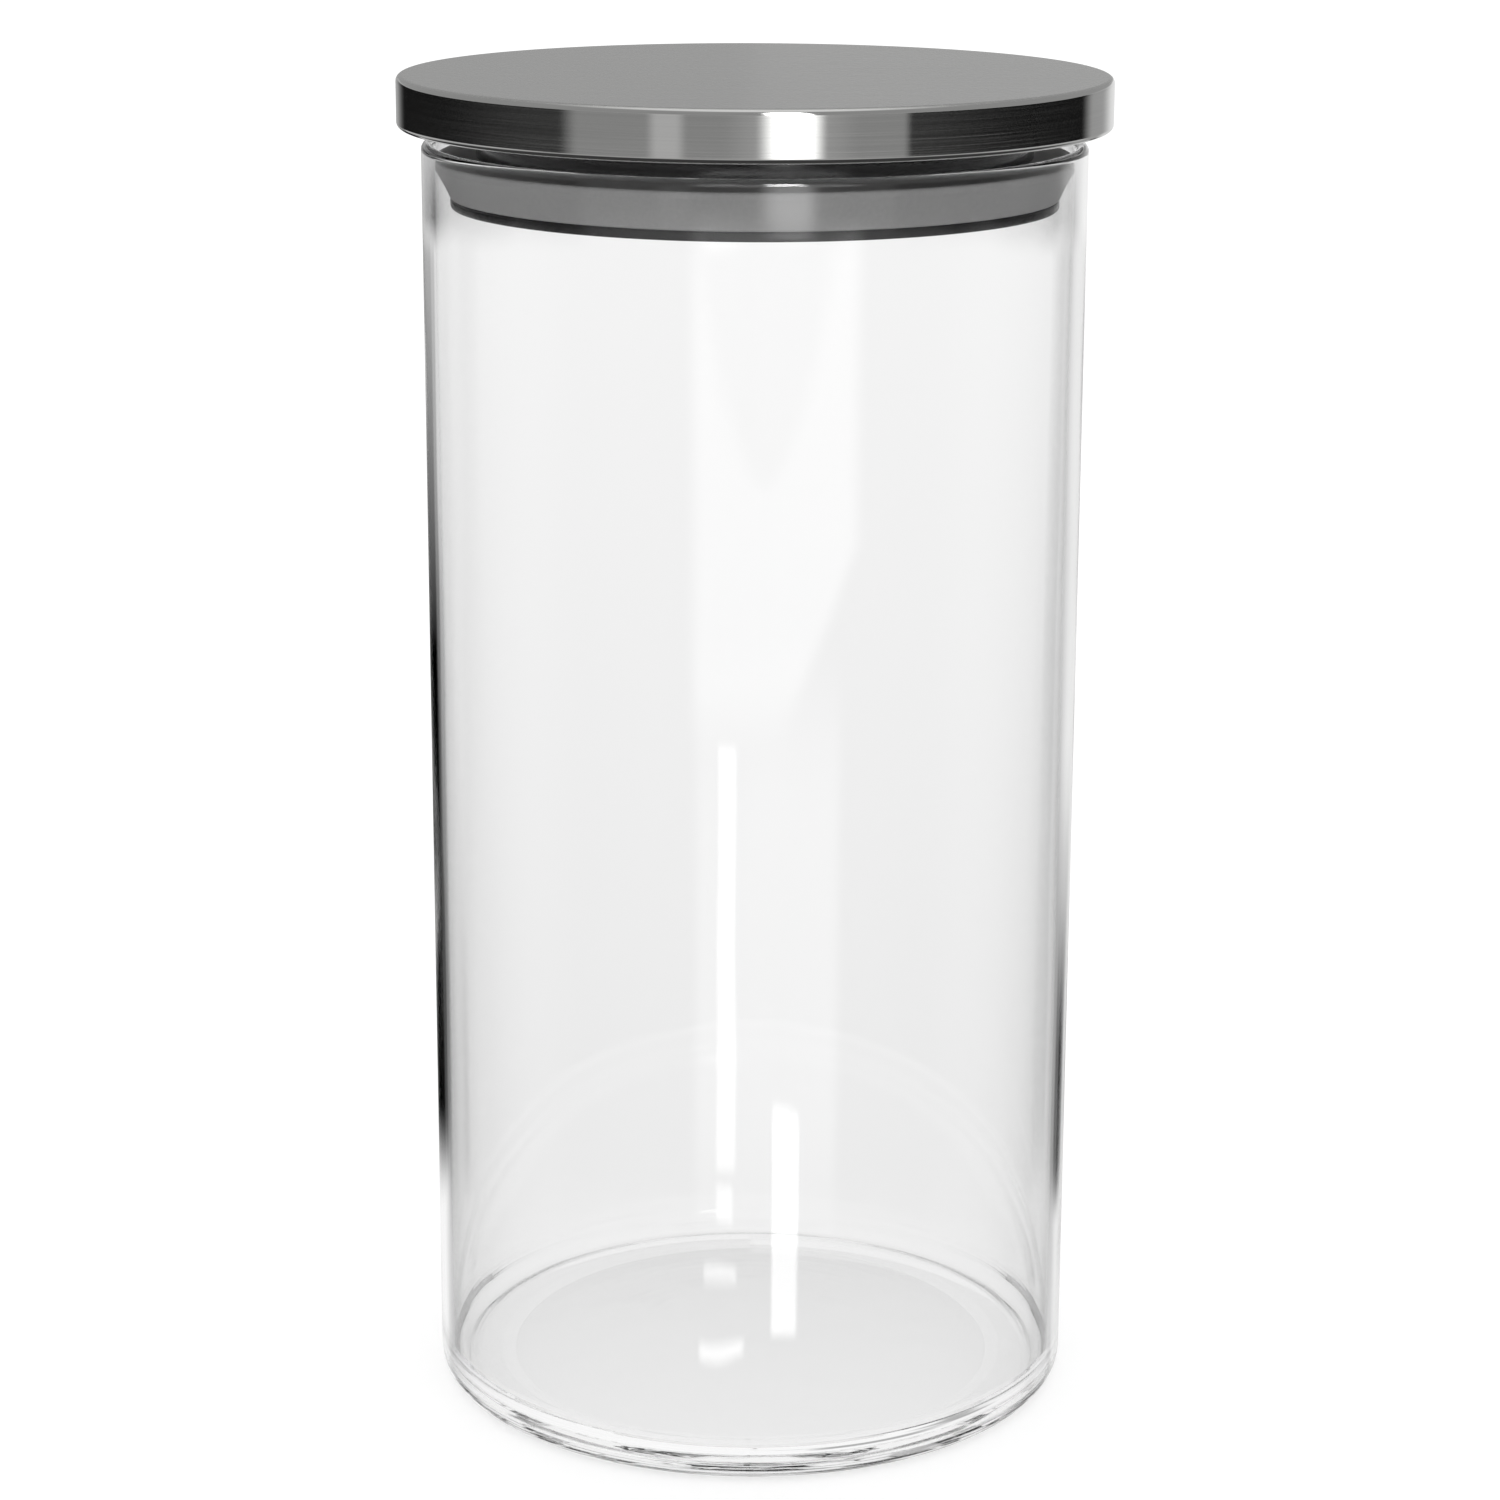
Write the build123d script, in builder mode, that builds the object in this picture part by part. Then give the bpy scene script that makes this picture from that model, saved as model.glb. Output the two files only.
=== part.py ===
from build123d import *
import os

# A straight-sided glass storage canister with a lift-off plug lid. Millimetres, +Z up, with the
# origin at the centre of the foot. The lid is a drawn stainless cap over a moulded plug, whose
# groove carries a tapered silicone ring. The ring wedges in the mouth and holds the lid just
# clear of the rim.

# Glass jar
glass_outer_radius = 50.0
glass_wall = 2.0
jar_height = 196.0
floor_thickness = 2.8
heel_radius = 3.5
inner_heel_radius = 4.5
push_up_radius = 38.0
push_up_rise = 1.4

# Steel cap
cap_overhang = 3.6
cap_sheet = 0.5
cap_depth = 7.6
cap_edge_radius = 0.9
hem_radius = 0.7
hem_width = 1.4
lid_gap = 2.4

# Silicone ring
seal_clearance = 0.08
seal_drop = 2.0
seal_height = 5.7
seal_taper = 2.0
seal_land = 1.0
seal_lip_radius = 0.4
seal_pocket_depth = 3.6
seal_pocket_height = 1.8
seal_pocket_radius = 0.6
seal_stretch_clearance = 0.05

# Moulded plug
plug_wall = 1.8
plug_cap_clearance = 0.1
neck_inset = 6.2
groove_shoulder = 2.0
retainer_inset = 2.2
retainer_thickness = 1.45
retainer_edge_radius = 0.4
flange_edge_radius = 1.0
neck_fillet_radius = 0.8
rib_thickness = 1.2
flange_rib_count = 24
dish_rib_count = 8
hub_radius = 9.0

# How closely an edge matches the radius or level that names it
edge_match = 0.01

# Radii that the pieces share
bore_radius = glass_outer_radius - glass_wall
cap_radius = glass_outer_radius + cap_overhang
cap_inner_radius = cap_radius - cap_sheet
seal_top_radius = bore_radius - seal_clearance
seal_bottom_radius = seal_top_radius - seal_taper
retainer_radius = bore_radius - retainer_inset
neck_radius = bore_radius - neck_inset
core_radius = neck_radius - groove_shoulder
flange_radius = cap_inner_radius - plug_cap_clearance

# Levels that the pieces share
cap_bottom = jar_height + lid_gap
cap_top = cap_bottom + cap_depth
cap_seat = cap_top - cap_sheet
flange_bottom = cap_bottom + cap_sheet + plug_cap_clearance
flange_top = flange_bottom + plug_wall
groove_top = jar_height - seal_drop
groove_bottom = groove_top - seal_height
plug_bottom = groove_bottom - retainer_thickness
dish_floor = plug_bottom + plug_wall


def dome_radius(base_radius, rise):
    """Radius of the sphere whose cap has this base radius and rise."""
    return (base_radius**2 + rise**2) / (2 * rise)


# Glass jar: one blown and fire-polished piece. The wall is even from the rounded lip down to the
# heel, and the floor is pushed up in the middle, so that the jar stands on a flat outer ring.
with BuildPart() as glass_jar:
    foot_radius = glass_outer_radius - heel_radius
    floor_radius = bore_radius - inner_heel_radius
    floor_rise = push_up_rise * (floor_radius / push_up_radius) ** 2
    with BuildSketch(Plane.XZ):
        with BuildLine():
            push_up = RadiusArc(
                (0, push_up_rise),
                (push_up_radius, 0),
                dome_radius(push_up_radius, push_up_rise),
            )
            standing_ring = Line(push_up @ 1, (foot_radius, 0))
            heel = JernArc(standing_ring @ 1, standing_ring % 1, heel_radius, 90)
            outside = Line(heel @ 1, (glass_outer_radius, jar_height - glass_wall / 2))
            lip = JernArc(outside @ 1, outside % 1, glass_wall / 2, 180)
            inside = Line(lip @ 1, (bore_radius, floor_thickness + inner_heel_radius))
            inner_heel = JernArc(inside @ 1, inside % 1, inner_heel_radius, -90)
            jar_floor = RadiusArc(
                inner_heel @ 1,
                (0, floor_thickness + floor_rise),
                -dome_radius(floor_radius, floor_rise),
            )
            Line(jar_floor @ 1, push_up @ 0)
        make_face()
    revolve(axis=Axis.Z)
glass_jar.part.label = "glass_jar"

# Steel cap: a flat disc of sheet drawn into a short skirt. The skirt's free edge is turned in
# under the plug's flange, which it holds against the underside of the disc.
with BuildPart() as lid_cap:
    with BuildSketch(Plane.XZ):
        with BuildLine():
            FilletPolyline(
                (0, cap_top),
                (cap_radius, cap_top),
                (cap_radius, cap_bottom),
                (cap_radius - hem_width, cap_bottom),
                radius=[cap_edge_radius, hem_radius],
            )
            offset(amount=cap_sheet, side=Side.RIGHT)
        make_face()
    revolve(axis=Axis.Z)
lid_cap.part.label = "lid_cap"

# Plug: one moulding, a dish with a closed underside that opens up into the cap. From below it
# has the retaining rim, the groove for the ring, the neck, and the flange that fills the cap.
# Ribs stand on the flange and in the dish and carry the steel disc.
with BuildPart() as lid_plug:
    with BuildSketch(Plane.XZ):
        with BuildLine():
            Polyline(
                (0, plug_bottom),
                (retainer_radius, plug_bottom),
                (retainer_radius, groove_bottom),
                (core_radius, groove_bottom),
                (core_radius, groove_top),
                (neck_radius, groove_top),
                (neck_radius, flange_bottom),
                (flange_radius, flange_bottom),
                (flange_radius, cap_seat),
                (flange_radius - plug_wall, cap_seat),
                (flange_radius - plug_wall, flange_top),
                (neck_radius, flange_top),
                (neck_radius, cap_seat),
                (neck_radius - plug_wall, cap_seat),
                (neck_radius - plug_wall, groove_top + plug_wall),
                (core_radius - plug_wall, groove_top + plug_wall),
                (core_radius - plug_wall, dish_floor),
                (0, dish_floor),
                close=True,
            )
        make_face()
    revolve(axis=Axis.Z)
    retainer_edges = lid_plug.edges().filter_by(GeomType.CIRCLE)
    retainer_edges = retainer_edges.filter_by(lambda edge: abs(edge.radius - retainer_radius) < edge_match)
    fillet(retainer_edges, radius=retainer_edge_radius)
    flange_edges = lid_plug.edges().filter_by(GeomType.CIRCLE)
    flange_edges = flange_edges.filter_by(lambda edge: abs(edge.radius - flange_radius) < edge_match)
    fillet(flange_edges, radius=flange_edge_radius)
    neck_edges = lid_plug.edges().filter_by(GeomType.CIRCLE)
    neck_edges = neck_edges.filter_by(lambda edge: abs(edge.radius - neck_radius) < edge_match)
    neck_edges = neck_edges.filter_by_position(Axis.Z, flange_bottom - edge_match, flange_bottom + edge_match)
    fillet(neck_edges, radius=neck_fillet_radius)

    # Short ribs between the neck and the flange's outer wall
    flange_rib_inner = neck_radius - plug_wall / 2
    flange_rib_outer = flange_radius - plug_wall / 2
    with BuildSketch(Plane.XY.offset(flange_top)):
        with PolarLocations((flange_rib_inner + flange_rib_outer) / 2, flange_rib_count):
            Rectangle(flange_rib_outer - flange_rib_inner, rib_thickness)
    extrude(amount=cap_seat - flange_top)

    # Deep ribs from the hub to the dish's wall, and the hub itself
    dish_rib_inner = hub_radius - plug_wall / 2
    dish_rib_outer = core_radius - plug_wall / 2
    with BuildSketch(Plane.XY.offset(dish_floor)):
        with PolarLocations((dish_rib_inner + dish_rib_outer) / 2, dish_rib_count):
            Rectangle(dish_rib_outer - dish_rib_inner, rib_thickness)
        Circle(hub_radius)
        Circle(hub_radius - plug_wall, mode=Mode.SUBTRACT)
    extrude(amount=cap_seat - dish_floor)
lid_plug.part.label = "lid_plug"

# Silicone ring: stretched over the retaining rim into the plug's groove. Its outside tapers in
# towards the bottom, so that it starts easily in the mouth, and a pocket in its back lets the
# broad section squeeze.
with BuildPart() as seal_ring:
    seal_inner_radius = core_radius + seal_stretch_clearance
    pocket_radius = seal_inner_radius + seal_pocket_depth
    seal_middle = (groove_top + groove_bottom) / 2
    pocket_top = seal_middle + seal_pocket_height / 2
    pocket_bottom = seal_middle - seal_pocket_height / 2
    with BuildSketch(Plane.XZ):
        with BuildLine():
            Polyline(
                (seal_inner_radius, groove_bottom),
                (seal_bottom_radius, groove_bottom),
                (seal_top_radius, groove_top - seal_land),
                (seal_top_radius, groove_top),
                (seal_inner_radius, groove_top),
                (seal_inner_radius, pocket_top),
                (pocket_radius, pocket_top),
                (pocket_radius, pocket_bottom),
                (seal_inner_radius, pocket_bottom),
                close=True,
            )
        make_face()
    revolve(axis=Axis.Z)
    lip_edges = seal_ring.edges().filter_by(GeomType.CIRCLE)
    fillet(lip_edges.filter_by(lambda edge: edge.radius > seal_bottom_radius - edge_match),
           radius=seal_lip_radius)
    pocket_edges = seal_ring.edges().filter_by(GeomType.CIRCLE)
    fillet(pocket_edges.filter_by(lambda edge: abs(edge.radius - pocket_radius) < edge_match),
           radius=seal_pocket_radius)
seal_ring.part.label = "seal_ring"

os.makedirs("parts", exist_ok=True)
export_step(glass_jar.part, "parts/glass_jar.step")
export_step(lid_cap.part, "parts/lid_cap.step")
export_step(lid_plug.part, "parts/lid_plug.step")
export_step(seal_ring.part, "parts/seal_ring.step")
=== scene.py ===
import math

import bmesh
import bpy
from mathutils import Matrix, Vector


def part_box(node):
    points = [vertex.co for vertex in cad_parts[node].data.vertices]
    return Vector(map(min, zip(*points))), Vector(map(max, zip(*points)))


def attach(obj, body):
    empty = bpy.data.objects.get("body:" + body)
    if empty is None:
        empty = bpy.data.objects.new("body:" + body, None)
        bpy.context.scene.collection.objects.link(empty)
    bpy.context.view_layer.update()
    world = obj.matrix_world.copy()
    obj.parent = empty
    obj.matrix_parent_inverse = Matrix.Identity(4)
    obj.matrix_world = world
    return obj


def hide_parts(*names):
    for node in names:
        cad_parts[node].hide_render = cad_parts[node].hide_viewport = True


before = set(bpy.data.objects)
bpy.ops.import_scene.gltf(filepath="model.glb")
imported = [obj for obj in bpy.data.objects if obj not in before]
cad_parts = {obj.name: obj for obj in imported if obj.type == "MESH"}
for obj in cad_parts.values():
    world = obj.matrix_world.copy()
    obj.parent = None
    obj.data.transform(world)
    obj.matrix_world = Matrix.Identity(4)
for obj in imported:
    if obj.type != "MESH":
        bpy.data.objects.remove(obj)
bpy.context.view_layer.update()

# ---------------------------------------------------------------------------------------------
# Camera. A short telephoto stands a little over half a metre in front of the jar, above the
# lid's height, and looks down at it.
camera_distance = 0.5905
camera_height = 0.2599
camera_side = -0.0004
look_down = math.radians(15.04)
camera_roll = math.radians(0.216)

camera_data = bpy.data.cameras.new("camera")
camera_data.sensor_width = 36.0
camera_data.lens = 93.83
camera = bpy.data.objects.new("camera", camera_data)
bpy.context.collection.objects.link(camera)
camera.matrix_world = (
    Matrix.Translation((camera_side, -camera_distance, camera_height))
    @ Matrix.Rotation(math.pi / 2 - look_down, 4, "X")
    @ Matrix.Rotation(camera_roll, 4, "Z")
)
bpy.context.scene.camera = camera
bpy.context.scene.view_settings.view_transform = "Standard"

# ---------------------------------------------------------------------------------------------
# Studio. An even white room lights the jar. Metal and glass mirror a set of softboxes, dark
# curtains and a white backdrop, each given by its azimuth from the camera and its elevation in
# degrees. What is seen straight through the glass is the white of the room.


def node(tree, kind, settings=None, links=None):
    """Adds a node. Settings that name an input set its value, the others set the node itself."""
    made = tree.nodes.new(kind)
    for name, value in (settings or {}).items():
        if isinstance(name, int) or name in made.inputs:
            made.inputs[name].default_value = value
        else:
            setattr(made, name, value)
    for name, socket in (links or {}).items():
        tree.links.new(socket, made.inputs[name])
    return made


def linear(colour):
    """The linear RGBA of an sRGB hex colour such as "8c9094"."""
    channels = [int(colour[i:i + 2], 16) / 255 for i in (0, 2, 4)]
    return [c / 12.92 if c <= 0.04045 else ((c + 0.055) / 1.055) ** 2.4 for c in channels] + [1.0]


world = bpy.data.worlds.new("studio")
bpy.context.scene.world = world
world.use_nodes = True
studio = world.node_tree
studio.nodes.clear()

direction = node(studio, "ShaderNodeTexCoord")
axes = node(studio, "ShaderNodeSeparateXYZ", links={0: direction.outputs["Generated"]})
to_camera = node(studio, "ShaderNodeMath", {"operation": "MULTIPLY", 1: -1.0}, {0: axes.outputs["Y"]})
turn = node(studio, "ShaderNodeMath", {"operation": "ARCTAN2"},
            {0: axes.outputs["X"], 1: to_camera.outputs[0]})
azimuth = node(studio, "ShaderNodeMath", {"operation": "DEGREES"}, {0: turn.outputs[0]}).outputs[0]
rise = node(studio, "ShaderNodeMath", {"operation": "ARCSINE"}, {0: axes.outputs["Z"]})
elevation = node(studio, "ShaderNodeMath", {"operation": "DEGREES"}, {0: rise.outputs[0]}).outputs[0]
ray = node(studio, "ShaderNodeLightPath")


def wire(tree, socket, value):
    """Links a socket to an input, or sets the input to a number."""
    if isinstance(value, (int, float)):
        socket.default_value = value
    else:
        tree.links.new(value, socket)


def maths(operation, first, second):
    """Combines two sockets or numbers."""
    made = node(studio, "ShaderNodeMath", {"operation": operation})
    wire(studio, made.inputs[0], first)
    wire(studio, made.inputs[1], second)
    return made.outputs[0]


def ramp(source, start, end, low, high, kind="LINEAR"):
    """Goes from low to high while the angle goes from start to end."""
    return node(studio, "ShaderNodeMapRange",
                {"interpolation_type": kind, "From Min": start, "From Max": end,
                 "To Min": low, "To Max": high},
                {"Value": source}).outputs[0]


def edge(source, at, soft, low=0.0, high=1.0):
    """A smooth step of an angle, from low below it to high above it."""
    return ramp(source, at - soft, at + soft, low, high, "SMOOTHSTEP")


def span(source, start, end, soft):
    """1 between two angles and 0 outside them."""
    return maths("MULTIPLY", edge(source, start, soft), edge(source, end, soft, 1.0, 0.0))


def panel(left, right, low, high, soft=1.0, soft_up=1.0):
    """A soft-edged rectangle of the room, 1 inside and 0 outside."""
    return maths("MULTIPLY", span(azimuth, left, right, soft), span(elevation, low, high, soft_up))


def cover(room, shape, level):
    """Hangs something of this brightness in front of the room."""
    made = node(studio, "ShaderNodeMix", {"data_type": "FLOAT"}, {"Factor": shape})
    wire(studio, made.inputs["A"], room)
    wire(studio, made.inputs["B"], level)
    return made.outputs[0]


def shine(room, shape, strength):
    """Adds a light to the room."""
    return maths("ADD", room, maths("MULTIPLY", shape, strength))


# Pale table, darker the nearer it lies to the jar, and a grey ceiling with a large softbox
# overhead. Under the lid's edge the table is in the lid's own shadow.
in_glass = maths("GREATER_THAN", ray.outputs["Transmission Depth"], 0.5)
turned_back = maths("SUBTRACT", ray.outputs["Ray Depth"], ray.outputs["Transmission Depth"])
turned_often = maths("GREATER_THAN", turned_back, 2.5)
ran_down_wall = maths("GREATER_THAN", turned_back, 24.5)
below = edge(elevation, -7.5, 0.3, 1.0, 0.0)
low = edge(elevation, -21.8, 0.8, 1.0, 0.0)
room = cover(ramp(elevation, -21, -8, 0.30, 0.75), edge(elevation, 5.0, 2.0), 0.38)
room = cover(room, edge(elevation, 62, 12), 1.0)
near_jar = maths("MULTIPLY", below, span(azimuth, -78, 78, 14))
room = cover(room, near_jar, ramp(elevation, -21, -8, 0.10, 0.62))
room = cover(room, maths("MULTIPLY", low, in_glass), 0.72)
room = cover(room, maths("MULTIPLY", low, maths("SUBTRACT", 1.0, in_glass)), 0.06)
# White backdrop behind the jar, and the table under it
room = cover(room, maths("MULTIPLY", below, edge(azimuth, 149, 5)), 0.78)
room = cover(room, maths("MULTIPLY", below, edge(azimuth, -150, 6, 1.0, 0.0)), 0.92)
few_walls = maths("MULTIPLY", in_glass, maths("LESS_THAN", ray.outputs["Transmission Depth"], 2.5))
room = cover(room, maths("MULTIPLY", edge(elevation, -26, 2, 1.0, 0.0), few_walls), 1.0)
# Dark side of the studio at eye level, with the wall that carries the lights in front of the jar
# and the ends of the backdrop behind it
eye_level = maths("MULTIPLY", edge(elevation, -7.5, 0.3), edge(elevation, 4.0, 0.5, 1.0, 0.0))
room = cover(room, eye_level, 0.012)
room = shine(room, maths("MULTIPLY", eye_level, span(azimuth, -92, 70, 26)), 0.03)
facing_wall = maths("MULTIPLY", edge(azimuth, -60.5, 4), edge(azimuth, 48.5, 1.8, 1.0, 0.0))
room = shine(room, maths("MULTIPLY", eye_level, facing_wall), 0.30)
room = shine(room, maths("MULTIPLY", eye_level, span(azimuth, -32.5, -22.7, 2.2)), 0.26)
room = shine(room, maths("MULTIPLY", eye_level, span(azimuth, -5, 28, 6)), 0.10)
room = shine(room, maths("MULTIPLY", eye_level, edge(azimuth, 131, 5)), 0.42)
room = shine(room, maths("MULTIPLY", eye_level, edge(azimuth, 152, 8)), 0.42)
room = shine(room, maths("MULTIPLY", eye_level, edge(azimuth, -158, 9, 1.0, 0.0)), 0.42)
# Strip light beside the camera, under a brighter lamp
room = shine(room, maths("MULTIPLY", eye_level,
                         maths("MULTIPLY", edge(azimuth, 4.5, 5.0), edge(azimuth, 19, 4, 1.0, 0.0))), 2.4)
room = shine(room, maths("MULTIPLY", panel(5, 16, 6, 45, 3.0, 3.0), maths("SUBTRACT", 1.0, in_glass)), 20)
# Light that has turned inside the jar's foot comes from all over the room, and what has run down
# the whole wall comes from the dark under the jar
room = cover(room, maths("MULTIPLY", edge(elevation, -6.5, 0.8), few_walls), 0.85)
room = cover(room, maths("MULTIPLY", turned_often, few_walls), 0.95)
room = cover(room, maths("MULTIPLY", ran_down_wall, below), 0.05)
# The table close under the jar, as light that crosses more than one wall finds it
room = cover(room, maths("MULTIPLY", edge(elevation, -28, 2, 1.0, 0.0),
                         maths("GREATER_THAN", ray.outputs["Transmission Depth"], 2.5)), 0.35)
# Black curtains at both ends of the backdrop, with paler folds beside them
left_end = maths("MULTIPLY", edge(elevation, -20.9, 0.8), below)
room = cover(room, maths("MULTIPLY", left_end, maths(
    "MULTIPLY", span(azimuth, -160, -141, 6), edge(elevation, -13.5, 3.0, 1.0, 0.0))), 0.25)
room = cover(room, maths("MULTIPLY", left_end, span(azimuth, -171, -150.5, 2.0)),
             ramp(elevation, -13.5, -7.5, 0.0, 0.45))
room = cover(room, maths("MULTIPLY", maths("MULTIPLY", left_end, turned_often),
                         edge(azimuth, -168, 2.0, 1.0, 0.0)), 0.0)
right_end = edge(elevation, -21.3, 0.6)
room = cover(room, maths("MULTIPLY", below, span(azimuth, 130, 146, 4)), 0.45)
room = cover(room, maths("MULTIPLY", right_end, maths(
    "MULTIPLY", span(azimuth, 143, 163, 5), edge(elevation, -16.5, 2.0, 1.0, 0.0))), 0.40)
room = cover(room, maths("MULTIPLY", right_end, maths(
    "MULTIPLY", span(azimuth, 151, 159, 1.5), edge(elevation, -18.2, 1.2, 1.0, 0.0))), 0.0)

# Light that only the front wall of the glass picks up: a broad soft glow that reaches lower on
# one side, two streaks and the two small lights under them
front_wall = span(ray.outputs["Transmission Depth"], 1.0, 3.0, 0.5)
slant = maths("MULTIPLY", maths("MINIMUM", maths("ADD", elevation, 12.0), 0.0), -8.7)
slanted_side = edge(maths("ADD", azimuth, slant), 37, 4.0, 1.0, 0.0)
glow = maths("MULTIPLY", maths("MULTIPLY", edge(azimuth, -21, 4.0), below),
             maths("MULTIPLY", slanted_side, edge(elevation, -14.6, 0.8)))
low_glow = maths("MULTIPLY", span(azimuth, -20, 31, 3.0), span(elevation, -21.5, -14.6, 1.5))
drape = maths("MULTIPLY", maths("POWER", maths("MAXIMUM", maths("ADD", elevation, 11.2), 0.0), 0.5), 14.0)
drape = maths("SUBTRACT", maths("ABSOLUTE", maths("ADD", azimuth, -3.5), 0.0), drape)
glow = maths("MULTIPLY", glow, edge(drape, -2, 5, 0.55, 1.0))
room = shine(room, maths("MULTIPLY", glow, front_wall), 2.2)
room = shine(room, maths("MULTIPLY", low_glow, front_wall), 1.6)
for left, right, bottom, top, strength in (
        (-12.5, -6.0, -21.0, -15.0, 4.0), (-12.5, -7.0, -21.9, -21.25, 4.0),
        (7.5, 17.0, -23.6, -20.3, 7.0),
        (-17.0, -6.0, -22.8, -22.6, 6.0), (-19.0, -3.0, -23.9, -23.65, 6.0)):
    room = shine(room, maths("MULTIPLY", panel(left, right, bottom, top, 1.0, 0.15), front_wall), strength)

# Reflections see the room. Camera rays, diffuse light and what shows straight through the glass
# see plain white. The room itself counts as one step of the ray's depth.
mirrored = maths("GREATER_THAN", turned_back, 1.5)
sharp = maths("MAXIMUM", ray.outputs["Is Glossy Ray"], ray.outputs["Is Transmission Ray"])
undiffused = maths("LESS_THAN", ray.outputs["Diffuse Depth"], 0.5)
through_glass = cover(room, maths("SUBTRACT", 1.0, mirrored), 0.95)
seen = node(studio, "ShaderNodeMix", {"data_type": "FLOAT", "A": 1.0},
            {"Factor": maths("MULTIPLY", sharp, undiffused), "B": through_glass}).outputs[0]
background = node(studio, "ShaderNodeBackground", {"Color": linear("ffffff")}, {"Strength": seen})
node(studio, "ShaderNodeOutputWorld", links={"Surface": background.outputs[0]})

# Floor: a wide pale sheet under the jar. Its glow, for the camera alone, brings it to the white of
# the room and leaves the jar's shadow on it. Mirrored and refracted rays pass through it to the
# studio's own white table.
floor_mesh = bpy.data.meshes.new("floor")
floor_shape = bmesh.new()
bmesh.ops.create_grid(floor_shape, x_segments=1, y_segments=1, size=6.0)
floor_shape.to_mesh(floor_mesh)
floor_shape.free()
floor = bpy.data.objects.new("floor", floor_mesh)
bpy.context.collection.objects.link(floor)
paper = bpy.data.materials.new("white_paper_floor")
paper.use_nodes = True
sheet = paper.node_tree
sheet.nodes.clear()
paper_ray = node(sheet, "ShaderNodeLightPath")
paper_diffuse = node(sheet, "ShaderNodeBsdfDiffuse", {"Color": linear("bcbcbc")})
paper_glow = node(sheet, "ShaderNodeEmission", {"Strength": 0.62})
paper_lit = node(sheet, "ShaderNodeAddShader", links={0: paper_diffuse.outputs[0], 1: paper_glow.outputs[0]})
paper_seen = node(sheet, "ShaderNodeMixShader", links={
    0: paper_ray.outputs["Is Camera Ray"], 1: paper_diffuse.outputs[0], 2: paper_lit.outputs[0]})
paper_clear = node(sheet, "ShaderNodeBsdfTransparent")
paper_sharp = node(sheet, "ShaderNodeMath", {"operation": "MAXIMUM"},
                   {0: paper_ray.outputs["Is Glossy Ray"], 1: paper_ray.outputs["Is Transmission Ray"]})
paper_all = node(sheet, "ShaderNodeMixShader", links={
    0: paper_sharp.outputs[0], 1: paper_seen.outputs[0], 2: paper_clear.outputs[0]})
node(sheet, "ShaderNodeOutputMaterial", links={"Surface": paper_all.outputs[0]})
floor_mesh.materials.append(paper)

# ---------------------------------------------------------------------------------------------
# Glass jar: borosilicate tube with a flame-formed base and a fire-polished rim. The section is
# turned about the axis; the wall keeps its real thickness, so that it refracts as a real one.
jar_low, jar_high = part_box("glass_jar")
jar_radius = jar_high.x
wall = 0.002
rim_height = jar_high.z
heel = 0.0035
inner_heel = 0.0045
floor_level = 0.0028
push_up_radius = 0.038
push_up_rise = 0.0014
arc_steps = 10


def arc(centre, radius, start, sweep, steps):
    """Points of an arc in the (radius, height) plane; angles in degrees."""
    points = []
    for i in range(steps + 1):
        angle = math.radians(start + sweep * i / steps)
        points.append((centre[0] + radius * math.cos(angle), centre[1] + radius * math.sin(angle)))
    return points


def dome(base_radius, rise, level, steps):
    """Points of a shallow dome from the axis out to its base."""
    sphere = (base_radius**2 + rise**2) / (2 * rise)
    half = math.degrees(math.asin(base_radius / sphere))
    return arc((0, level + rise - sphere), sphere, 90, -half, steps)


def supported(section, support=0.0001):
    """Adds a point just inside each end of every long straight, which keeps its shading flat."""
    points = [section[0]]
    for start, end in zip(section, section[1:]):
        length = math.dist(start, end)
        if length > 5 * support:
            for share in (support / length, 1 - support / length):
                points.append(tuple(a + (b - a) * share for a, b in zip(start, end)))
        points.append(end)
    return points


def turned(name, section, ring=False, segments=256):
    """Turns a (radius, height) section about Z into a smooth closed mesh. A ring's section closes
    on itself, and any other starts and ends on the axis."""
    shape = bmesh.new()
    rings = []
    for radius, height in supported(section + section[:1] if ring else section):
        if radius < 1e-9:
            rings.append([shape.verts.new((0, 0, height))])
            continue
        rings.append([
            shape.verts.new((radius * math.cos(2 * math.pi * k / segments),
                             radius * math.sin(2 * math.pi * k / segments), height))
            for k in range(segments)
        ])
    if ring:
        for vert in rings.pop():
            shape.verts.remove(vert)
        rings.append(rings[0])
    for lower, upper in zip(rings, rings[1:]):
        for k in range(segments):
            following = (k + 1) % segments
            corners = [lower[k % len(lower)], lower[following % len(lower)],
                       upper[following % len(upper)], upper[k % len(upper)]]
            shape.faces.new(list(dict.fromkeys(corners)))
    bmesh.ops.recalc_face_normals(shape, faces=shape.faces)
    mesh = bpy.data.meshes.new(name)
    shape.to_mesh(mesh)
    shape.free()
    mesh.polygons.foreach_set("use_smooth", [True] * len(mesh.polygons))
    piece = bpy.data.objects.new(name, mesh)
    bpy.context.collection.objects.link(piece)
    return piece


bore = jar_radius - wall
floor_radius = bore - inner_heel
section = dome(push_up_radius, push_up_rise, 0, 16)
section += arc((jar_radius - heel, heel), heel, -90, 90, arc_steps)
section += arc((jar_radius - wall / 2, rim_height - wall / 2), wall / 2, 0, 180, arc_steps)
section += arc((floor_radius, floor_level + inner_heel), inner_heel, 0, -90, arc_steps)
section += dome(floor_radius, push_up_rise * (floor_radius / push_up_radius) ** 2, floor_level, 16)[::-1][1:]
jar = turned("jar_body", section)

glass = bpy.data.materials.new("borosilicate_glass_fire_polished")
glass.use_nodes = True
melt = glass.node_tree
glass_shader = melt.nodes["Principled BSDF"]
glass_shader.inputs["Base Color"].default_value = linear("ffffff")
glass_shader.inputs["Roughness"].default_value = 0.0
glass_shader.inputs["IOR"].default_value = 1.473
glass_shader.inputs["Transmission Weight"].default_value = 1.0
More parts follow.
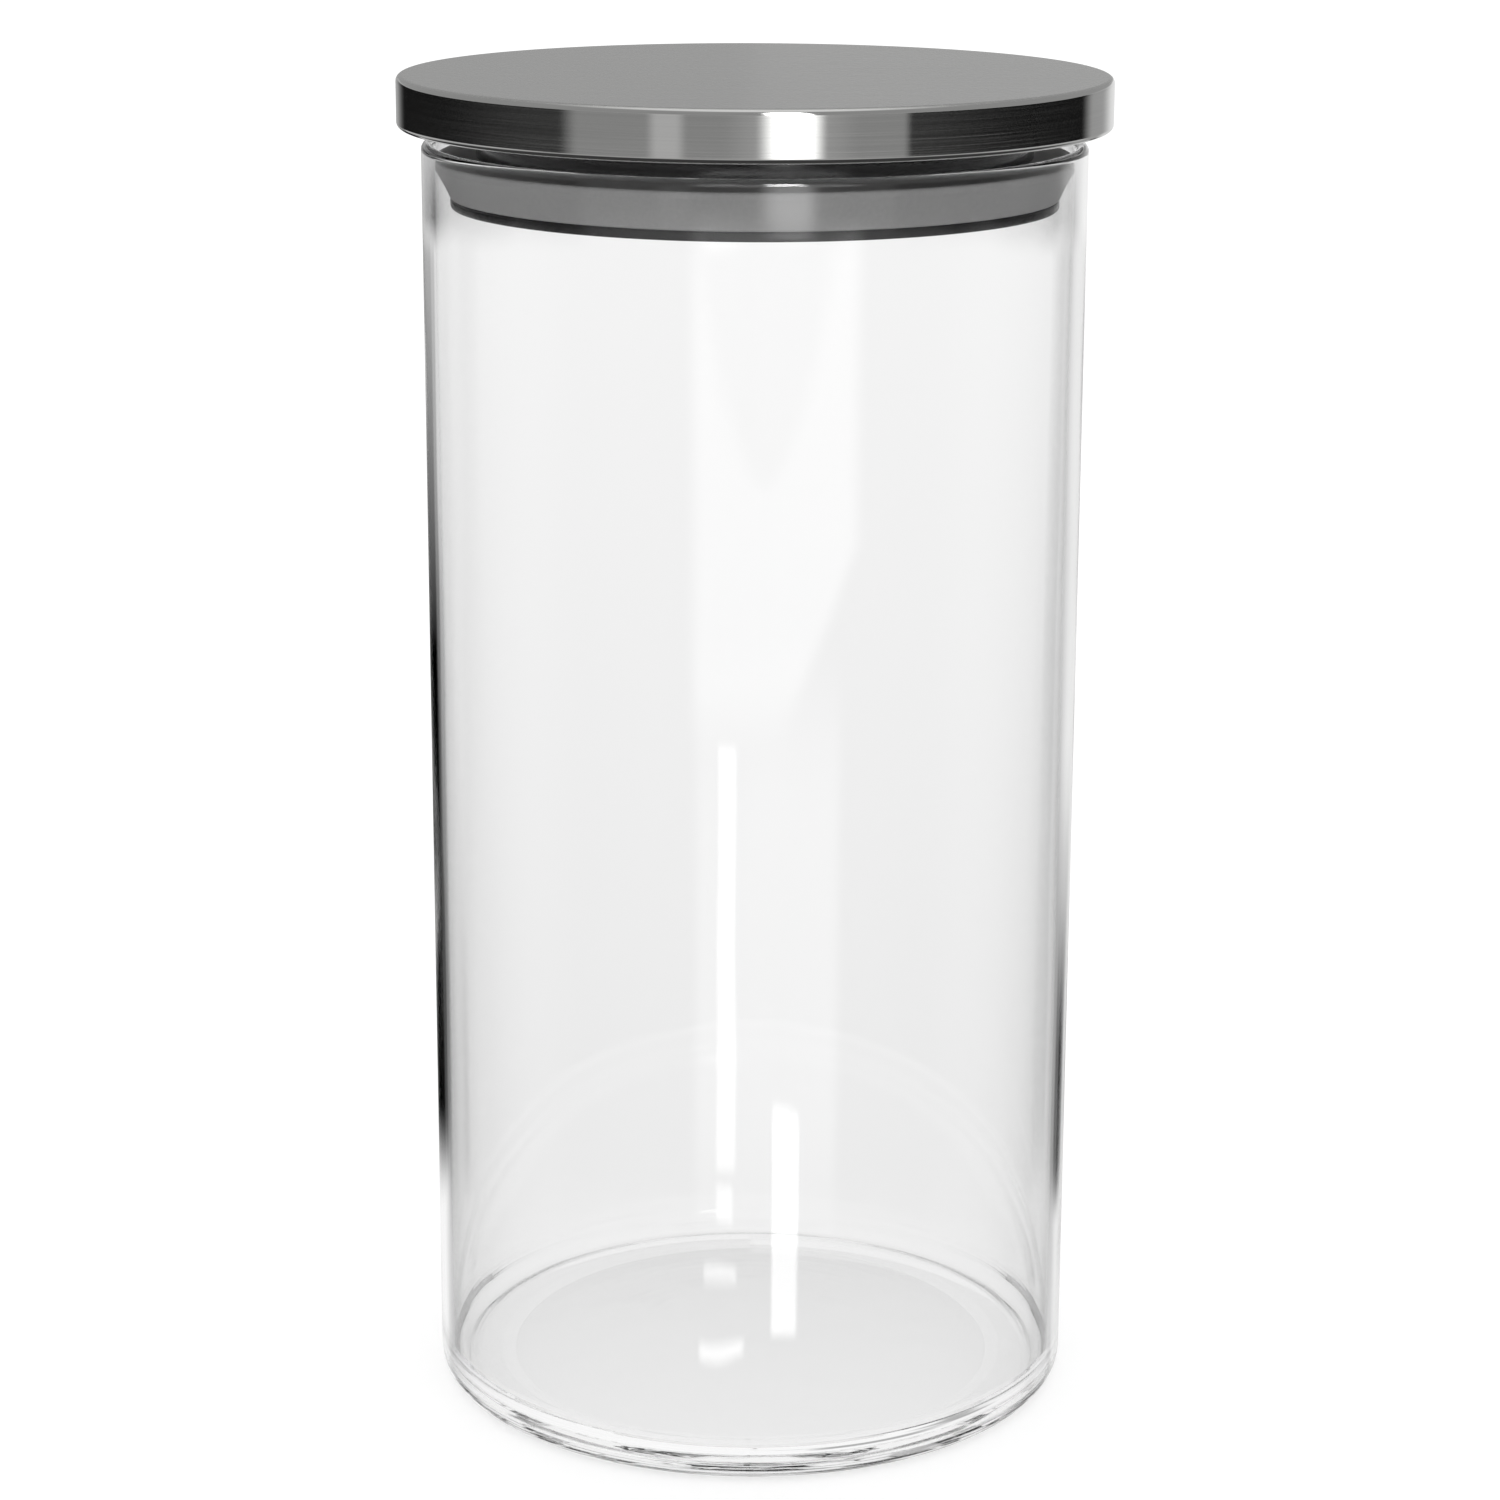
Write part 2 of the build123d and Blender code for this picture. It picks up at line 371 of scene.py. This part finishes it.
# Drawn tube is never quite even: long shallow waves make the mirrored lights swim a little
wave_width = 0.016
wave_length = 0.05
glass_place = node(melt, "ShaderNodeTexCoord")
drawn = node(melt, "ShaderNodeVectorMath",
             {"operation": "MULTIPLY", 1: (1 / wave_width, 1 / wave_width, 1 / wave_length)},
             {0: glass_place.outputs["Object"]})
waves = node(melt, "ShaderNodeTexNoise", {"Scale": 1.0, "Detail": 1.0}, {"Vector": drawn.outputs[0]})
waviness = node(melt, "ShaderNodeBump", {"Strength": 1.0, "Distance": 0.00008}, {"Height": waves.outputs[0]})
melt.links.new(waviness.outputs[0], glass_shader.inputs["Normal"])
jar.data.materials.append(glass)
# Light runs a long way round inside the wall's edges before it leaves them
bpy.context.scene.cycles.max_bounces = 128
bpy.context.scene.cycles.glossy_bounces = 128
bpy.context.scene.cycles.transmission_bounces = 128
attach(jar, "jar")
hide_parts("glass_jar")

# ---------------------------------------------------------------------------------------------
# Steel cap: a disc of thin stainless sheet drawn into a short skirt, whose free edge is turned in
# under the plug. The disc is brushed in one direction and the skirt all the way round.
cap_low, cap_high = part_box("lid_cap")
cap_radius = cap_high.x
sheet_thickness = 0.0005
cap_edge = 0.0009
hem_edge = 0.0007
hem_width = 0.0014
edge_steps = 8

cap_section = [(0, cap_high.z)]
cap_section += arc((cap_radius - cap_edge, cap_high.z - cap_edge), cap_edge, 90, -90, edge_steps)
cap_section += arc((cap_radius - hem_edge, cap_low.z + hem_edge), hem_edge, 0, -90, edge_steps)
cap_section += [(cap_radius - hem_width, cap_low.z), (cap_radius - hem_width, cap_low.z + sheet_thickness)]
cap_section += arc((cap_radius - hem_edge, cap_low.z + hem_edge),
                   hem_edge - sheet_thickness, -90, 90, edge_steps)
cap_section += arc((cap_radius - cap_edge, cap_high.z - cap_edge),
                   cap_edge - sheet_thickness, 0, 90, edge_steps)
cap_section += [(0, cap_high.z - sheet_thickness)]
cap = turned("steel_cap", cap_section)

# Brushed stainless steel: a soft stretched reflection, broken up by hairlines. Real hairlines are
# under 0.1 mm apart, so they are drawn a few times as coarse to show at all.
steel = bpy.data.materials.new("stainless_steel_brushed")
steel.use_nodes = True
grain = steel.node_tree
steel_shader = grain.nodes["Principled BSDF"]
steel_shader.inputs["Metallic"].default_value = 1.0
steel_shader.inputs["Anisotropic"].default_value = 0.5
hairline = 0.00035
hairline_length = 0.05
skirt_hairline = 0.0003
place = node(grain, "ShaderNodeTexCoord")
facing = node(grain, "ShaderNodeSeparateXYZ", links={0: place.outputs["Normal"]})
on_disc = node(grain, "ShaderNodeMapRange", {"From Min": 0.6, "From Max": 0.8}, {"Value": facing.outputs["Z"]})
disc_lines = node(grain, "ShaderNodeVectorMath",
                  {"operation": "MULTIPLY", 1: (1 / hairline_length, 1 / hairline, 0.0)},
                  {0: place.outputs["Object"]})
skirt_lines = node(grain, "ShaderNodeVectorMath",
                   {"operation": "MULTIPLY", 1: (1 / hairline_length, 1 / hairline_length, 1 / skirt_hairline)},
                   {0: place.outputs["Object"]})
disc_grain = node(grain, "ShaderNodeTexNoise", {"Scale": 1.0, "Detail": 3.0, "Roughness": 0.6},
                  {"Vector": disc_lines.outputs[0]})
skirt_grain = node(grain, "ShaderNodeTexNoise", {"Scale": 1.0, "Detail": 2.0, "Roughness": 0.6},
                   {"Vector": skirt_lines.outputs[0]})
brushing = node(grain, "ShaderNodeMix", {"data_type": "FLOAT"},
                {"Factor": on_disc.outputs[0], "A": skirt_grain.outputs[0], "B": disc_grain.outputs[0]})
disc_gloss = node(grain, "ShaderNodeMapRange", {"From Min": 0.3, "From Max": 0.7, "To Min": 0.20, "To Max": 0.30},
                  {"Value": disc_grain.outputs[0]})
skirt_gloss = node(grain, "ShaderNodeMapRange", {"From Min": 0.3, "From Max": 0.7, "To Min": 0.05, "To Max": 0.08},
                   {"Value": skirt_grain.outputs[0]})
gloss = node(grain, "ShaderNodeMix", {"data_type": "FLOAT"},
             {"Factor": on_disc.outputs[0], "A": skirt_gloss.outputs[0], "B": disc_gloss.outputs[0]})
grain.links.new(gloss.outputs[0], steel_shader.inputs["Roughness"])
tint = node(grain, "ShaderNodeMix", {"data_type": "RGBA", 6: linear("c4c4c3"), 7: linear("d2d2d0")},
            {0: brushing.outputs[0]})
grain.links.new(tint.outputs[2], steel_shader.inputs["Base Color"])
scratches = node(grain, "ShaderNodeBump", {"Strength": 0.25, "Distance": 0.000012},
                 {"Height": brushing.outputs[0]})
grain.links.new(scratches.outputs[0], steel_shader.inputs["Normal"])
across = node(grain, "ShaderNodeMix", {"data_type": "VECTOR", 4: (0.0, 0.0, 1.0), 5: (0.0, 1.0, 0.0)},
              {0: on_disc.outputs[0]})
grain.links.new(across.outputs[1], steel_shader.inputs["Tangent"])
cap.data.materials.append(steel)
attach(cap, "lid")
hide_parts("lid_cap")

# ---------------------------------------------------------------------------------------------
# Plug: one black moulding that fills the cap and reaches down into the mouth. A neck, a groove for
# the ring and a retaining rim go round it, and it is hollow above, where ribs carry the disc.
plug_low, plug_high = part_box("lid_plug")
ring_low, ring_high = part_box("seal_ring")
plug_wall = 0.0018
flange_radius = plug_high.x
flange_edge = 0.001
flange_bottom = cap_low.z + sheet_thickness + 0.0001
neck_radius = bore - 0.0062
neck_fillet = 0.0008
core_radius = neck_radius - 0.002
retainer_radius = bore - 0.0022
retainer_edge = 0.0004
dish_floor = plug_low.z + plug_wall
rib_thickness = 0.0012
hub_radius = 0.009

plug_section = [(0, plug_low.z)]
plug_section += arc((retainer_radius - retainer_edge, plug_low.z + retainer_edge), retainer_edge, -90, 90, 5)
plug_section += arc((retainer_radius - retainer_edge, ring_low.z - retainer_edge), retainer_edge, 0, 90, 5)
plug_section += [(core_radius, ring_low.z), (core_radius, ring_high.z), (neck_radius, ring_high.z)]
plug_section += arc((neck_radius + neck_fillet, flange_bottom - neck_fillet), neck_fillet, 180, -90, 5)
plug_section += arc((flange_radius - flange_edge, flange_bottom + flange_edge), flange_edge, -90, 90, 5)
plug_section += arc((flange_radius - flange_edge, plug_high.z - flange_edge), flange_edge, 0, 90, 5)
plug_section += [
    (flange_radius - plug_wall, plug_high.z),
    (flange_radius - plug_wall, flange_bottom + plug_wall),
    (neck_radius, flange_bottom + plug_wall),
    (neck_radius, plug_high.z),
    (neck_radius - plug_wall, plug_high.z),
    (neck_radius - plug_wall, ring_high.z + plug_wall),
    (core_radius - plug_wall, ring_high.z + plug_wall),
    (core_radius - plug_wall, dish_floor),
    (0, dish_floor),
]
plug = turned("lid_plug_moulding", plug_section)

# Glossy black plastic, injection moulded: a faint orange peel softens the edges of its reflections
plastic = bpy.data.materials.new("polypropylene_black_moulded")
plastic.use_nodes = True
moulding = plastic.node_tree
plastic_shader = moulding.nodes["Principled BSDF"]
plastic_shader.inputs["Specular IOR Level"].default_value = 0.4
orange_peel = 0.0012
plastic_place = node(moulding, "ShaderNodeTexCoord")
peel = node(moulding, "ShaderNodeTexNoise", {"Scale": 1 / orange_peel, "Detail": 2.0},
            {"Vector": plastic_place.outputs["Object"]})
peel_bump = node(moulding, "ShaderNodeBump", {"Strength": 0.2, "Distance": 0.00003}, {"Height": peel.outputs[0]})
peel_gloss = node(moulding, "ShaderNodeMapRange",
                  {"From Min": 0.3, "From Max": 0.7, "To Min": 0.12, "To Max": 0.22}, {"Value": peel.outputs[0]})
peel_tint = node(moulding, "ShaderNodeMix", {"data_type": "RGBA", 6: linear("060607"), 7: linear("0c0c0e")},
                 {0: peel.outputs[0]})
moulding.links.new(peel_bump.outputs[0], plastic_shader.inputs["Normal"])
moulding.links.new(peel_gloss.outputs[0], plastic_shader.inputs["Roughness"])
moulding.links.new(peel_tint.outputs[2], plastic_shader.inputs["Base Color"])
plug.data.materials.append(plastic)
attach(plug, "lid")
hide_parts("lid_plug")


def ribs(name, count, inner, outer, low, high):
    """Radial ribs between two radii and two levels, repeated round the axis by Geometry Nodes."""
    tree = bpy.data.node_groups.new(name + "_tree", "GeometryNodeTree")
    sizes = {"Count": count, "Radius": (inner + outer) / 2, "Length": outer - inner,
             "Thickness": rib_thickness, "Height": high - low, "Level": (low + high) / 2}
    sockets = {
        label: tree.interface.new_socket(
            label, in_out="INPUT", socket_type="NodeSocketInt" if label == "Count" else "NodeSocketFloat")
        for label in sizes
    }
    tree.interface.new_socket("Geometry", in_out="OUTPUT", socket_type="NodeSocketGeometry")
    size = node(tree, "NodeGroupInput").outputs
    circle = node(tree, "GeometryNodeMeshCircle", links={"Vertices": size["Count"], "Radius": size["Radius"]})
    rib_size = node(tree, "ShaderNodeCombineXYZ", links={
        0: size["Length"], 1: size["Thickness"], 2: size["Height"]})
    rib = node(tree, "GeometryNodeMeshCube", links={"Size": rib_size.outputs[0]})
    number = node(tree, "GeometryNodeInputIndex")
    pitch = node(tree, "ShaderNodeMath", {"operation": "DIVIDE", 0: 2 * math.pi}, {1: size["Count"]})
    angle = node(tree, "ShaderNodeMath", {"operation": "MULTIPLY"}, {0: number.outputs[0], 1: pitch.outputs[0]})
    heading = node(tree, "ShaderNodeCombineXYZ", links={2: angle.outputs[0]})
    placed = node(tree, "GeometryNodeInstanceOnPoints", links={
        "Points": circle.outputs[0], "Instance": rib.outputs[0], "Rotation": heading.outputs[0]})
    level = node(tree, "ShaderNodeCombineXYZ", links={2: size["Level"]})
    raised = node(tree, "GeometryNodeTransform", links={
        "Geometry": placed.outputs[0], "Translation": level.outputs[0]})
    real = node(tree, "GeometryNodeRealizeInstances", links={0: raised.outputs[0]})
    dressed = node(tree, "GeometryNodeSetMaterial", {"Material": plastic}, {"Geometry": real.outputs[0]})
    node(tree, "NodeGroupOutput", links={0: dressed.outputs[0]})

    maker = bpy.data.objects.new(name + "_maker", bpy.data.meshes.new(name + "_maker"))
    bpy.context.collection.objects.link(maker)
    modifier = maker.modifiers.new("ribs", "NODES")
    modifier.node_group = tree
    for label, value in sizes.items():
        modifier[sockets[label].identifier] = value
    ready = maker.evaluated_get(bpy.context.evaluated_depsgraph_get())
    mesh = bpy.data.meshes.new_from_object(ready)
    bpy.data.objects.remove(maker)
    piece = bpy.data.objects.new(name, mesh)
    bpy.context.collection.objects.link(piece)
    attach(piece, "lid")
    return piece


# Short ribs stand on the flange inside the skirt, and deep ones run from the hub to the dish's wall
half_wall = plug_wall / 2
ribs("flange_ribs", 24, neck_radius - half_wall, flange_radius - half_wall,
     flange_bottom + plug_wall, plug_high.z)
ribs("dish_ribs", 8, hub_radius - half_wall, core_radius - half_wall, dish_floor, plug_high.z)
hub = turned("dish_hub", [
    (hub_radius - plug_wall, dish_floor), (hub_radius, dish_floor),
    (hub_radius, plug_high.z), (hub_radius - plug_wall, plug_high.z),
], ring=True, segments=96)
hub.data.materials.append(plastic)
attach(hub, "lid")

# ---------------------------------------------------------------------------------------------
# Seal ring: grey silicone, stretched into the plug's groove. Its outside tapers towards the bottom
# and wedges in the mouth, and a pocket moulded in its back lets it squeeze.
ring_radius = ring_high.x
ring_inner = core_radius + 0.00005
ring_taper = 0.0020
ring_land = 0.001
ring_lip = 0.0004
pocket_radius = ring_inner + 0.0036
pocket_half = 0.0009
ring_middle = (ring_low.z + ring_high.z) / 2
ring_foot = ring_radius - ring_taper

ring_section = [(ring_inner, ring_low.z)]
ring_section += arc((ring_foot - ring_lip, ring_low.z + ring_lip), ring_lip, -90, 60, 5)
ring_section += [(ring_radius, ring_high.z - ring_land)]
ring_section += arc((ring_radius - ring_lip, ring_high.z - ring_lip), ring_lip, 0, 90, 5)
ring_section += [
    (ring_inner, ring_high.z),
    (ring_inner, ring_middle + pocket_half),
    (pocket_radius, ring_middle + pocket_half),
    (pocket_radius, ring_middle - pocket_half),
    (ring_inner, ring_middle - pocket_half),
]
ring = turned("silicone_ring", ring_section, ring=True)

# Moulded silicone: satin, with a fine matt bloom that spreads what light it mirrors
silicone = bpy.data.materials.new("silicone_rubber_moulded")
silicone.use_nodes = True
rubber = silicone.node_tree
silicone_shader = rubber.nodes["Principled BSDF"]
bloom_grain = 0.0006
rubber_place = node(rubber, "ShaderNodeTexCoord")
bloom = node(rubber, "ShaderNodeTexNoise", {"Scale": 1 / bloom_grain, "Detail": 4.0},
             {"Vector": rubber_place.outputs["Object"]})
bloom_tint = node(rubber, "ShaderNodeMix", {"data_type": "RGBA", 6: linear("a0a0a0"), 7: linear("b0b0b0")},
                  {0: bloom.outputs[0]})
bloom_bump = node(rubber, "ShaderNodeBump", {"Strength": 0.3, "Distance": 0.00003}, {"Height": bloom.outputs[0]})
bloom_gloss = node(rubber, "ShaderNodeMapRange",
                   {"From Min": 0.3, "From Max": 0.7, "To Min": 0.42, "To Max": 0.56}, {"Value": bloom.outputs[0]})
rubber.links.new(bloom_tint.outputs[2], silicone_shader.inputs["Base Color"])
rubber.links.new(bloom_bump.outputs[0], silicone_shader.inputs["Normal"])
rubber.links.new(bloom_gloss.outputs[0], silicone_shader.inputs["Roughness"])
ring.data.materials.append(silicone)
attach(ring, "lid")
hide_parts("seal_ring")
